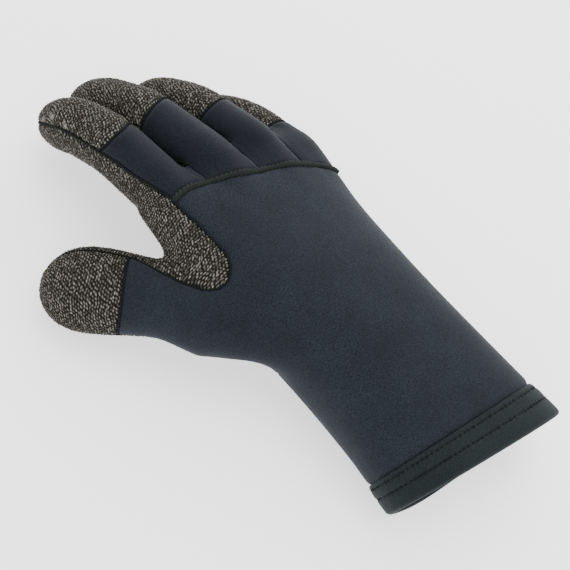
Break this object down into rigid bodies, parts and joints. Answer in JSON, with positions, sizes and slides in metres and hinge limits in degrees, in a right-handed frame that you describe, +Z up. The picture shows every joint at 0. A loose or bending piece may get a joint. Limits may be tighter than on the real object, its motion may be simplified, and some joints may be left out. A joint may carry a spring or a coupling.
{
  "type": "diving glove",
  "caption": "Right-hand diving glove with a neoprene back and gauntlet, loop-knit palm and fingertip caps, and a stitched cuff hem.",
  "frame": {"origin": "under the middle of the glove's bounding box, on the surface it rests on", "axes": "+Z up through the back of the hand, +Y along the hand towards the fingertips, -X towards the thumb"},
  "size_m": [0.1514, 0.2562, 0.0644],
  "materials": {
    "neoprene": "fine jersey-faced neoprene, matt",
    "loop_knit": "cut-resistant loop-pile knit, tan grains on near black, matt",
    "hem_neoprene": "folded neoprene hem, matt, two sunken stitch rows",
    "seam_thread": "overlocked thread, matt"
  },
  "bodies": {
    "root": {"index_cap": "loop_knit", "middle_cap": "loop_knit", "ring_cap": "loop_knit", "little_cap": "loop_knit", "thumb_cap": "loop_knit", "palm_panel": "loop_knit", "index_front": "loop_knit", "middle_front": "loop_knit", "ring_front": "loop_knit", "little_front": "loop_knit", "thumb_front": "loop_knit", "back_panel": "neoprene", "gauntlet_under": "neoprene", "index_back": "neoprene", "middle_back": "neoprene", "ring_back": "neoprene", "little_back": "neoprene", "cuff_hem": "hem_neoprene", "knuckle_seam": "seam_thread"}
  },
  "joints": []
}
